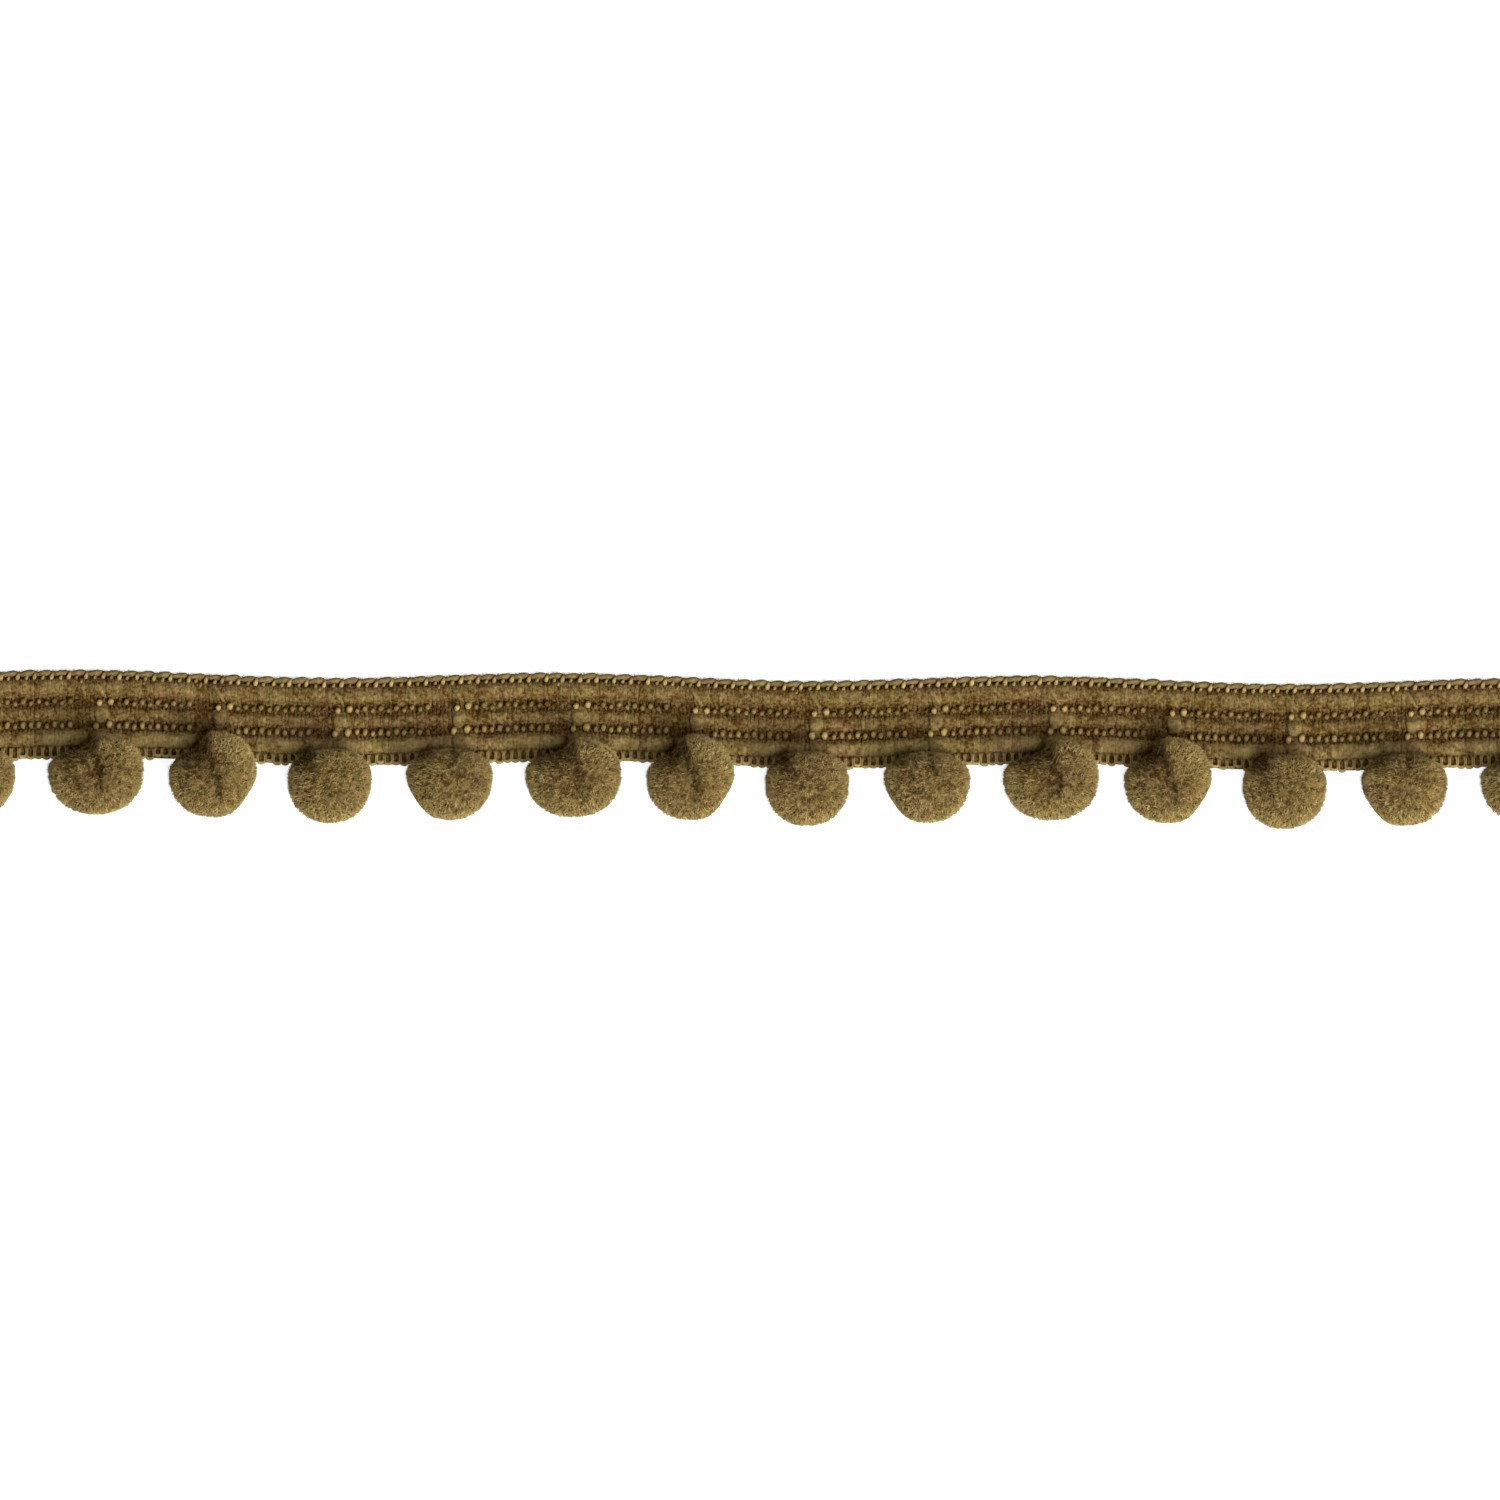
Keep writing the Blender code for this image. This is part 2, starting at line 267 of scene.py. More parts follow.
class Fabric:
    """Gathers a piece's points and faces, with a tone and a depth for each point, and makes its object."""

    def __init__(self):
        self.points = []
        self.faces = []
        self.tones = []
        self.depths = []
        self.count = 0

    def add(self, points, faces, tones, depths):
        self.points.append(points)
        self.faces.append(faces + self.count)
        self.tones.append(np.broadcast_to(tones, len(points)))
        self.depths.append(np.broadcast_to(depths, len(points)))
        self.count += len(points)

    def skin(self, rings, tones):
        """Closed tubes through rings of the shape (tubes, rings, sides, 3), which turn left down the tube."""
        tubes, length, sides, _ = rings.shape
        index = np.arange(length * sides).reshape(length, sides)
        turned = np.roll(index, -1, axis=1)
        walls = np.stack((index[:-1], index[1:], turned[1:], turned[:-1]), axis=-1).reshape(-1, 4)
        fan = np.array([(0, j, j + 1, j + 2) for j in range(1, sides - 2, 2)])
        faces = np.concatenate((walls, fan, fan[:, ::-1] + (length - 1) * sides))
        offsets = np.arange(tubes)[:, None, None] * length * sides
        tones = np.broadcast_to(tones, (tubes, length, sides)).reshape(-1)
        self.add(rings.reshape(-1, 3), (faces + offsets).reshape(-1, 4), tones, 1.0)

    def sweep(self, paths, ups, widths, heights, sides, tones, lean=0.0):
        """Closed oval tubes along paths of the shape (tubes, points, 3). Rings may lean along the heading."""
        tangents = normalised(np.gradient(paths, axis=1))
        across = normalised(np.cross(tangents, np.broadcast_to(ups, paths.shape)))
        outward = np.cross(across, tangents)
        angles = 2 * math.pi * (np.arange(sides) + 0.5) / sides
        shape = paths.shape[:2]
        widths = np.broadcast_to(widths, shape)[:, :, None, None]
        heights = np.broadcast_to(heights, shape)[:, :, None, None]
        spread = across[:, :, None] * np.cos(angles)[:, None] * widths / 2
        rise = outward[:, :, None] * np.sin(angles)[:, None] * heights / 2
        slant = spread[..., 1:2] * (lean, 0, 0)
        if np.ndim(tones) < 3:
            tones = np.broadcast_to(tones, shape)[..., None]
        self.skin(paths[:, :, None] + spread + rise + slant, tones)

    def spikes(self, roots, tips, width, tones, root_depths, tip_depths):
        """Fibres: slim three-sided spikes with closed roots."""
        along = normalised(tips - roots)
        across = normalised(np.cross(along, np.roll(along, 1, axis=1) + (0.1, 0.2, 0.3)))
        other = np.cross(along, across)
        corners = [roots + (across * math.cos(angle) + other * math.sin(angle)) * width / 2
                   for angle in TRIANGLE_CORNERS]
        points = np.stack((*corners, tips), axis=1).reshape(-1, 3)
        faces = np.array(((0, 1, 3), (1, 2, 3), (2, 0, 3), (2, 1, 0)))
        offsets = np.arange(len(roots))[:, None, None] * 4
        depths = np.stack((root_depths, root_depths, root_depths, tip_depths), axis=1).reshape(-1)
        self.add(points, (faces + offsets).reshape(-1, 3), np.repeat(tones, 4), depths)

    def piece(self, name, material, *nodes):
        """The object, which rides on the root body and stands for the CAD nodes that are named."""
        mesh = bpy.data.meshes.new(name)
        mesh.vertices.add(self.count)
        mesh.vertices.foreach_set("co", np.concatenate(self.points).ravel())
        sizes = np.concatenate([np.full(len(faces), faces.shape[1]) for faces in self.faces])
        mesh.loops.add(sizes.sum())
        mesh.loops.foreach_set("vertex_index", np.concatenate([faces.ravel() for faces in self.faces]))
        mesh.polygons.add(len(sizes))
        mesh.polygons.foreach_set("loop_start", np.concatenate(((0,), np.cumsum(sizes)[:-1])))
        mesh.update(calc_edges=True)
        mesh.polygons.foreach_set("use_smooth", sizes == 4)
        for attribute, values in (("tone", self.tones), ("depth", self.depths)):
            layer = mesh.attributes.new(attribute, "FLOAT", "POINT")
            layer.data.foreach_set("value", np.concatenate(values))
        mesh.materials.append(material)
        obj = bpy.data.objects.new(name, mesh)
        bpy.context.scene.collection.objects.link(obj)
        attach(obj, "root")
        if nodes:
            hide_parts(*nodes)
        return obj


def on_heading(x, across, height):
    """Points at x, across the heading from its corded edge, and at a height over what it lies on."""
    return np.stack(np.broadcast_arrays(x, far_edge(x) - across, height), axis=-1)


LOOP_SAG = 0.14 * MM
LOWEST_LOOPS_X = pompom_x(0.3)


def sag(x):
    """How much farther than elsewhere the heading's loops hang down at x: most beside the broad pompoms."""
    return LOOP_SAG * (1 + np.cos(2 * math.pi * (x - LOWEST_LOOPS_X) / WAVE_LENGTH))


# The ground of the heading starts beside the cord and lies TAPE_UNDER_FACE below the yarns' face
TAPE_START = 0.3 * MM
TAPE_EDGE_HEIGHT = 0.35 * MM
TAPE_UNDER_FACE = 0.32 * MM
TAPE_LOOP_RISE = 0.30 * MM
TAPE_STATIONS_IN_PITCH = 40
TAPE_COLUMNS = 36
TAPE_BACK_COLUMNS = [-1, 22, 11, 0]
# The ground is dark as painted shade between the yarns; it is less dark at the loops and lighter at its near
# end
TAPE_SHADE_TONE = 0.08
TAPE_BACK_TONE = 0.22


def heading_tape(material):
    """The closed ground of the heading, which the yarns lie in, coloured dark as painted shade between them.
    """
    xs = np.linspace(-CUT_LENGTH / 2, CUT_LENGTH / 2, POMPOM_COUNT * TAPE_STATIONS_IN_PITCH + 1)[:, None]
    across = np.linspace(TAPE_START, HEADING_WIDTH - 0.04 * MM, TAPE_COLUMNS)[::-1]
    at_loops = smooth_step(across, BAND_END, BAND_END + 0.3 * MM)
    at_end = smooth_step(across, HEADING_WIDTH - 0.3 * MM, HEADING_WIDTH)
    rounded = smooth_step(across, 0.2 * MM, 0.9 * MM) * (1 - 0.4 * at_end)
    full_height = face(across) + TAPE_LOOP_RISE * at_loops - TAPE_UNDER_FACE
    height = TAPE_EDGE_HEIGHT + (full_height - TAPE_EDGE_HEIGHT) * rounded
    top_height = height + relief(xs, across) * rounded
    across = across + sag(xs) * smooth_step(across, BAND_END, HEADING_WIDTH)
    top = on_heading(xs, across, top_height)
    back_across = across[:, TAPE_BACK_COLUMNS]
    back = on_heading(xs, back_across, np.zeros_like(back_across))
    rings = np.concatenate((top, back), axis=1)
    back_tones = np.full(len(TAPE_BACK_COLUMNS), TAPE_BACK_TONE)
    tones = np.concatenate((TAPE_SHADE_TONE + 0.07 * at_loops + 0.25 * at_end, back_tones))
    tape = Fabric()
    tape.skin(rings[None], tones)
    return tape.piece("heading_tape", material, "heading")


# The inlaid yarns start beside the cord. They turn in loops at the near edge, LOOP_RISE above the ribs' face.
YARN_START = 0.7 * MM
TURN_HALF = 0.38 * MM
TURN_DEPTH = 0.22 * MM
TURN_ACROSS = LOOPS_END - 0.2 * MM - TURN_DEPTH
LOOP_RISE = 0.50 * MM
YARN_SIDES = 6


def yarn_route():
    """One course's yarn in plan: its distances beside the course's middle, and across the heading."""
    down = np.concatenate((np.linspace(YARN_START, BAND_END, 23), np.linspace(BAND_END, TURN_ACROSS, 7)[1:]))
    bend = np.linspace(0, math.pi, 6)[1:-1]
    looped = smooth_step(down, BAND_END - 0.1 * MM, BAND_END + 0.3 * MM)
    leg = COURSE / 4 + (TURN_HALF - COURSE / 4) * looped
    beside = np.concatenate((-leg, -TURN_HALF * np.cos(bend), leg[::-1]))
    across = np.concatenate((down, TURN_ACROSS + TURN_DEPTH * np.sin(bend), down[::-1]))
    return beside, across


def inlaid_tones(x, across, loop_share, turning, puffed, phase, draw):
    """The inlaid yarns' tones: painted shade where they dip into the grooves, in the pits and on the far band
    before its row; uneven and lifted by painted light on the near band; light in the loops; and painted light
    and shade beside each pompom.
    """
    in_middle = np.exp(-(((across - MIDDLE_BAND) / (0.8 * MM)) ** 2))
    in_near = smooth_step(across, NEAR_ROW, BAND_END - 1.0 * MM) * (1 - loop_share)
    painted_shade_before_far_row = smooth_step(across, *mm(2.3, 2.9)) * (1 - smooth_step(across, *mm(3.2, 3.6)))
    own = draw.normal(0, 1, (len(x), 1))
    tones = 0.24 + 0.03 * own + 0.03 * np.sin(across / MM * 2.3 + phase)
    # The near band's yarns are lifted by painted light; the middle band's are a little darker
    tones = tones + 0.52 * loop_share + 0.24 * turning - 0.035 * in_middle + 0.21 * in_near
    tones = tones + (0.04 * own + draw.normal(0, 0.06, x.shape)) * in_near
    # Painted shade on the far band's slope before the far row
    tones = tones - 0.06 * painted_shade_before_far_row
    # Painted shade where the yarns dip into the grooves and in the pits, with painted light and shade beside
    # each pompom
    tones = tones * (0.5 + 0.5 * np.maximum(puffed, loop_share)) * pit_shade(x, across) + painted_light_and_shade_by_pompoms(x, across)
    return np.clip(tones, 0, 1)


def inlaid_yarns(material):
    """Each course's yarn goes down the heading, turns in a loop at the near edge and comes back up."""
    draw = np.random.default_rng(YARN_SEED)
    beside, across = yarn_route()
    loop_share = smooth_step(across, BAND_END - 0.05 * MM, BAND_END + 0.4 * MM)
    turning = smooth_step(across, TURN_ACROSS - 0.1 * MM, TURN_ACROSS + 0.2 * MM)
    puffed = np.clip((face(across) - 0.75 * MM) / (0.8 * MM), 0, 1) * (1 - loop_share)
    widths = (0.50 + 0.60 * puffed - 0.30 * loop_share + 0.26 * turning) * MM
    heights = (0.36 + 0.22 * puffed + 0.04 * loop_share) * MM
    count = POMPOM_COUNT * COURSES_IN_PITCH
    centres = (np.arange(count)[:, None] + 0.5) * COURSE - CUT_LENGTH / 2
    phases = draw.uniform(0, 2 * math.pi, (2, count, 1))
    broad_wobble = np.sin(across / MM * 1.9 + phases[0]) * 0.06 * MM
    wobble = broad_wobble + np.sin(across / MM * 4.3 + phases[1]) * 0.03 * MM
    x = centres + beside + wobble * (1 - loop_share)
    uneven = draw.normal(0, 0.035 * MM, (count, 1)) + np.sin(across / MM * 3.1 + phases[1]) * 0.025 * MM
    height = face(across) + LOOP_RISE * loop_share - heights / 2 + relief(x, across) + uneven
    uneven_ends = np.clip(draw.normal(0, 0.12 * MM, (count, 1)), *mm(-0.25, 0.16))
    hang = (sag(centres) + uneven_ends) * smooth_step(across, BAND_END, TURN_ACROSS)
    paths = on_heading(x, across + hang, height)
    grown = 1 + draw.normal(0, 0.06, (count, 1))
    tones = inlaid_tones(x, across, loop_share, turning, puffed, phases[0], draw)
    yarns = Fabric()
    yarns.sweep(paths, UP, widths * grown, heights * grown, YARN_SIDES, tones)
    return yarns.piece("inlaid_yarns", material)


# Stitches of a row: half their length, how far they stand aside by turns, the small ones' tone, the offsets
# of the two large ones from each pompom, and the forms of pompom that have no large ones
Row = namedtuple("Row", "across half_length zigzag small_tone first second skipped")
ROWS = (
    Row(FAR_ROW, 0.17 * MM, 0.12 * MM, 0.38, 0.6 * MM, 1.98 * MM, ()),
    Row(NEAR_ROW, 0.26 * MM, 0.08 * MM, 0.45, 0.25 * MM, 1.8 * MM, ("slanted",)),
)
LARGE_BEADS = (1.35, 1.45)
LARGE_TONE = 0.75
LARGE_BEAD_MEAN = 1.4
SMALL_BEADS = (0.93, 1.05)
SMALL_BEAD_MEAN = 0.98
SMALL_BEADS_IN_PITCH = 10
FIRST_SMALL_BEAD = 2.9 * MM
BEAD_SPACING_SHARE = 0.99
GROOVE_HEIGHT = 0.62 * MM
CHAIN_THREAD = 0.30 * MM
CHAIN_THREAD_HEIGHT = 0.72 * MM
# The joining thread's dark tone is painted shade deep in the groove
CHAIN_THREAD_SHADE_TONE = 0.08


def bead_places(row):
    """Places of a row's stitches along the heading, and their sizes.

    Two large ones stand beside each pompom and then ten small ones. After them there are none, where the
    binding holds the heading down.
    """
    places, sizes = [], []
    for index in range(-1, POMPOM_COUNT):
        centre = pompom_x(index)
        if pompom_form(index).name not in row.skipped:
            places += [centre + row.first, centre + row.second]
            sizes += LARGE_BEADS
        for number in range(SMALL_BEADS_IN_PITCH):
            places.append(centre + FIRST_SMALL_BEAD + COURSE * number * BEAD_SPACING_SHARE)
            sizes.append(SMALL_BEADS[number % 2])
    places, sizes = np.array(places), np.array(sizes)
    kept = np.abs(places) < CUT_LENGTH / 2 - 0.3 * MM
    return places[kept], sizes[kept]


def chain_row(stitches, row, draw):
    """A row of stitches: small arches over the courses, and the thread that joins them deep in the groove,
    painted dark as shade.
    """
    places, sizes = bead_places(row)
    count = len(places)
    sizes = (sizes * (1 + draw.normal(0, 0.03, count)))[:, None]
    large = smooth_step(sizes, 1.1, 1.3)
    swing = np.linspace(-1, 1, 7)
    arch = np.cos(swing * 1.4)
    lean = 0.02 * MM + draw.normal(0, 0.03 * MM, (count, 1))
    aside = np.where(sizes > SMALL_BEAD_MEAN, -row.zigzag, row.zigzag) * (1 - large)
    aside = aside + draw.normal(0, 0.02 * MM, (count, 1))
    aside = aside + np.where(sizes > LARGE_BEAD_MEAN, *mm(-0.1, 0.1)) * large
    x = places[:, None] - lean * swing + draw.normal(0, 0.015 * MM, (count, 1))
    across = row.across + aside + (row.half_length * (1 - 0.25 * large)) * sizes * swing
    crest = 0.95 * MM + 0.32 * MM * sizes + draw.normal(0, 0.02 * MM, (count, 1))
    height = GROOVE_HEIGHT + (crest - GROOVE_HEIGHT) * arch + relief(x, across)
    width = 0.53 * MM * sizes - 0.08 * MM * large
    tones = row.small_tone + (LARGE_TONE - row.small_tone) * large + 0.5 * (sizes - 1) * (1 - large)
    tones = np.clip(tones + draw.normal(0, 0.05, (count, 1)), 0.15, 1)
    # The arches are painted darker towards their ends, where they go down into the groove, and the small ones
    # in the pits: painted shade
    tones = tones * (0.25 + 0.75 * arch) * (pit_shade(x, across) * (1 - large) + large)
    stitches.sweep(on_heading(x, across, height), ALONG, width, width, YARN_SIDES, tones)
    along = np.arange(-CUT_LENGTH / 2 + 0.1 * MM, CUT_LENGTH / 2, COURSE / 5)
    turn = 2 * math.pi * along / COURSE
    height = CHAIN_THREAD_HEIGHT + 0.08 * MM * np.sin(turn * 2)
    thread = on_heading(along, row.across + 0.22 * MM * np.cos(turn), height)
    stitches.sweep(thread[None], UP, CHAIN_THREAD, CHAIN_THREAD, YARN_SIDES, CHAIN_THREAD_SHADE_TONE)


# Threads bind the cord to the heading: bright ones between its swellings, and short dim ones at their
# middles. Each carries a painted highlight of strength lit along its arch.
Ties = namedtuple("Ties", "offset start reach thickness lit")
EDGE_TIES = (
    Ties(0, 0.30 * MM, 0.76 * MM, 1.0, 0.5),
    Ties(SWELLING / 2, 0.66 * MM, 0.44 * MM, 0.8, 0.22),
)
TIE_HEIGHT = 0.85 * MM
TIE_RISE = 0.52 * MM
TIE_TONE = 0.28


def edge_ties(stitches, ties, draw):
    count = POMPOM_COUNT * SWELLINGS_IN_PITCH
    centres = np.arange(count)[:, None] * SWELLING - CUT_LENGTH / 2 + draw.normal(0, 0.06 * MM, (count, 1))
    centres = centres[1:] + ties.offset
    share = np.linspace(0, 1, 10)
    size = 1 + draw.normal(0, 0.08, (count - 1, 1))
    x = centres + (0.16 - 0.22 * share) * MM
    across = ties.start + ties.reach * share + draw.normal(0, 0.03 * MM, (count - 1, 1))
    height = TIE_HEIGHT + TIE_RISE * np.sin(math.pi * share) ** 0.7 + 0.10 * MM * share * size
    width = (0.40 + 0.16 * smooth_step(share, 0.3, 0.8)) * ties.thickness * MM * size
    # A painted highlight along the tie's arch
    tones = TIE_TONE + ties.lit * np.exp(-(((share - 0.6) / 0.28) ** 2))
    tones = np.clip(tones + draw.normal(0, 0.08, (count - 1, 1)), 0, 1)
    stitches.sweep(on_heading(x, across, height), ALONG, width, width, YARN_SIDES, tones)


def chain_stitches(material):
    draw = np.random.default_rng(STITCH_SEED)
    stitches = Fabric()
    for row in ROWS:
        chain_row(stitches, row, draw)
    for ties in EDGE_TIES:
        edge_ties(stitches, ties, draw)
    return stitches.piece("chain_stitches", material)


CORD_ACROSS = 0.41 * MM
CORD_HEIGHT = 0.85 * MM
CORD_SIDES = 10
CORD_STEPS = 12
CORD_TONE = 0.24


def corded_edge(material):
    """A soft cord, which swells between its ties, fullest on the right, with painted light on its top that
    fades to painted shade at its sides, grows with each swelling and peaks in a painted highlight on each
    swelling's left.
    """
    draw = np.random.default_rng(CORD_SEED)
    cord = Fabric()
    swellings = POMPOM_COUNT * SWELLINGS_IN_PITCH
    x = np.linspace(-CUT_LENGTH / 2, CUT_LENGTH / 2, swellings * CORD_STEPS + 1)
    number, share = np.divmod(x + CUT_LENGTH / 2, SWELLING)
    share = share / SWELLING
    size = draw.normal(1, 0.12, swellings + 2)[number.astype(int)]
    swell = np.sin(math.pi * share ** 1.3) ** 0.7 * size
    path = on_heading(x, CORD_ACROSS + 0.08 * MM * (1 - swell), CORD_HEIGHT + 0.1 * MM * swell)
    towards_near = np.cos(2 * math.pi * (np.arange(CORD_SIDES) + 0.5) / CORD_SIDES)
    # Painted light on the cord's top, fading to painted shade at its outer and inner sides
    lit = smooth_step(towards_near, -1.0, -0.4) * (1 - smooth_step(towards_near, 0.2, 1.0))
    painted_highlight = np.exp(-(((share - 0.35) / 0.25) ** 2))
    tones = CORD_TONE + (0.10 + 0.16 * swell + 0.16 * painted_highlight)[:, None] * lit
    widths = 0.30 * MM + 0.54 * MM * swell
    heights = 0.45 * MM + 0.6 * MM * swell
    cord.sweep(path[None], UP, widths, heights, CORD_SIDES, tones[None], lean=0.7)
    return cord.piece("corded_edge", material)


# Binding yarns: each yarn's cut is given by its width and height
BROAD_BINDING = mm(1.7, 0.5)
BROAD_BINDING_SIDES = 12
BROAD_BINDING_SPANS = ((FAR_ROW + 0.35 * MM, NEAR_ROW - 0.4 * MM), (NEAR_ROW + 0.5 * MM, BAND_END + 0.1 * MM))
SLANTING_BINDING = mm(0.56, 0.28)
SHORT_BINDING = mm(0.34, 0.30)


def bind(bindings, x, across, sunk, arch, section, sides, tones):
    """A binding yarn over the face, sunk into it by one length and arched at its middle by another."""
    share = np.linspace(0, 1, len(across))
    height = face(across) - sunk + relief(x, across) + arch * np.sin(math.pi * share)
    bindings.sweep(on_heading(x, across, height)[None], UP, *section, sides, tones)


def binding_yarns(material):
    """At each pompom, a broad flat yarn crosses the bands, and two thin ones run from the corded edge."""
    draw = np.random.default_rng(BINDING_SEED)
    bindings = Fabric()
    share = np.linspace(0, 1, 12)
    for centre in POMPOM_XS:
        x = centre + 0.9 * MM + (share - 0.5) * 0.3 * MM + draw.normal(0, 0.05 * MM)
        for first, last in BROAD_BINDING_SPANS:
            across = first + (last - first) * share
            tones = 0.54 + draw.normal(0, 0.05, (1, len(share)))
            bind(bindings, x, across, *mm(0.13, 0.06), BROAD_BINDING, BROAD_BINDING_SIDES, tones)
        across = 1.0 * MM + (FAR_ROW - 0.5 * MM - 1.0 * MM) * share
        x = centre + (-0.3 + 1.8 * share) * MM
        bind(bindings, x, across, *mm(0.08, 0.06), SLANTING_BINDING, YARN_SIDES, 0.6)
        across = 1.15 * MM + 0.45 * MM * share
        x = centre - (1.5 + 0.1 * share) * MM
        bind(bindings, x, across, *mm(0.02, 0.12), SHORT_BINDING, YARN_SIDES, 0.9)
    return bindings.piece("binding_yarns", material)


LYING_FIBRES = 11000
LYING_FIBRE_WIDTH = 0.045 * MM
CORD_FIBRES = 5000
CORD_FIBRE_WIDTH = 0.06 * MM
FIBRES_FROM_END = 0.5 * MM


def lying_fibres(fuzz, draw):
    """Loose fibres that lie over the bands."""
    count = LYING_FIBRES
    x = draw.uniform(-CUT_LENGTH / 2 + FIBRES_FROM_END, CUT_LENGTH / 2 - FIBRES_FROM_END, count)
    across = draw.uniform(BAND_START, BAND_END, count)
    roots = on_heading(x, across, face(across) + relief(x, across) - 0.03 * MM)
    towards = draw.uniform(0, 2 * math.pi, count)
    tilt = draw.uniform(0.05, 0.6, count)
    length = draw.uniform(0.25, 0.75, count) * MM
    lying = np.stack((np.cos(towards) * np.cos(tilt), np.sin(towards) * np.cos(tilt), np.sin(tilt)), axis=-1)
    tips = roots + lying * length[:, None]
    tones = draw.uniform(0.15, 0.55, count) * pit_shade(x, across)
    fuzz.spikes(roots, tips, LYING_FIBRE_WIDTH, tones, np.full(count, 0.8), np.ones(count))


def cord_fibres(fuzz, draw):
    """Short fibres that stand out from the cord."""
    count = CORD_FIBRES
    x = draw.uniform(-CUT_LENGTH / 2 + FIBRES_FROM_END, CUT_LENGTH / 2 - FIBRES_FROM_END, count)
    roots = on_heading(x, 0.3 * MM, draw.uniform(0.7, 1.1, count) * MM)
    away = draw.uniform(0.3, math.pi - 0.3, count)
    out = np.stack((np.cos(away), np.sin(away), draw.normal(0, 0.15, count)), axis=-1)
    tips = roots + out * draw.uniform(0.3, 0.65, (count, 1)) * MM
    tones = draw.uniform(0.25, 0.6, count)
    fuzz.spikes(roots, tips, CORD_FIBRE_WIDTH, tones, np.full(count, 0.8), np.ones(count))


def heading_fuzz(material):
    draw = np.random.default_rng(FUZZ_SEED)
    fuzz = Fabric()
    lying_fibres(fuzz, draw)
    cord_fibres(fuzz, draw)
    return fuzz.piece("heading_fuzz", material)


def ball_directions(count, draw, jitter):
    """Directions spread evenly over a ball and then moved a little."""
    k = np.arange(count)
    height = 1 - 2 * (k + 0.5) / count
    ring = np.sqrt(1 - height ** 2)
    angle = GOLDEN_ANGLE * k + draw.uniform(0, 2 * math.pi)
    even = np.stack((ring * np.cos(angle), ring * np.sin(angle), height), axis=-1)
    return normalised(even + draw.normal(0, jitter, (count, 3)))


def crease_shares(points, crease):
    """How far down in the crease each place in plan is, and how near the crease's bottom, both 0 to 1."""
    start, end = np.array(crease.start), np.array(crease.end)
    along = end - start
    share = np.clip(((points - start) @ along) / (along @ along), 0, 1)
    distance = np.linalg.norm(points - start - share[:, None] * along, axis=-1)
    left = (points - start) @ (-along[1], along[0]) < 0
    slope = np.exp(-((distance / np.where(left, crease.left_width, crease.half_width)) ** 2))
    fading = 1 - CREASE_FADING * share
    return slope * fading, np.exp(-((distance / crease.half_width) ** 2)) * fading


def pile_surface(directions, form, scale):
    """Where the pile's surface lies in each direction from the centre, and how near the crease's bottom."""
    behind = directions[:, 1] > 0
    parting = form.crease.start[0] / form.half_width
    on_right = smooth_step(directions[:, 0], parting - 0.25, parting + 0.2)
    lap = form.lap_left + (form.lap_right - form.lap_left) * on_right
    half_depth = np.where(behind, lap + CENTRE_DROP, form.reach - CENTRE_DROP)
    half_width = np.full(len(directions), form.half_width)
    radii = np.stack((half_width, half_depth, np.full(len(directions), HALF_HEIGHT)), axis=-1)
    fuller = (np.abs(directions) ** FULLNESS).sum(axis=1) ** (-1 / FULLNESS)
    points = directions * radii * np.reshape(scale * fuller, (-1, 1))
    angle = math.radians(form.pressed_towards)
    pressed = np.array((math.cos(angle), math.sin(angle), 0))
    beyond = points @ pressed - form.pressed_at - 0.1 * MM
    excess = PRESS_SOFTNESS * np.logaddexp(0, beyond / PRESS_SOFTNESS)
    points = points - pressed * excess[:, None] * PRESS_SHARE
    slope, bottom = crease_shares(points[:, :2], form.crease)
    upper = smooth_step(points[:, 2], 0, 2 * MM)
    length = np.linalg.norm(points, axis=-1)
    points = points * (1 - slope * upper * form.crease.depth / length)[:, None]
    return points, bottom * upper


def kept_clear(points, centre, edge_y, clearance):
    """Draws points back towards the pompom's centre, out of the heading and up from what the trim lies on."""
    top = HEADING_TOP + clearance
    to_edge = (edge_y - clearance - centre[1]) / points[:, 1]
    to_top = (top - centre[2]) / points[:, 2]
    enters = np.maximum(to_edge, to_top)
    heading = (points[:, 1] > 0) & (points[:, 2] < 0) & (enters < 1)
    points = np.where(heading[:, None], points * enters[:, None], points)
    ground = (clearance - centre[2]) / np.minimum(points[:, 2], -1e-9)
    return np.where((ground < 1)[:, None], points * ground[:, None], points)


# Fibres of the pile run from the roots to the tips, which are shares of the way to the pile's surface
PILE_FIBRES = 9000
LOOSE_FIBRES = 1400
CLUMPS = 900
FIBRE_WIDTH = 0.30 * MM
LOOSE_FIBRE_WIDTH = 0.07 * MM
ROOT_SHARE = 0.88
CORE_SHARE = 0.95
TIP_SHARE = 1.03
LOOSE_TIP_SHARE = 1.06
CORE_LEVELS = 23
CORE_SIDES = 48
CLUMPS_IN_PAINTED_SHADE = 0.22
PILE_TONE = 0.48


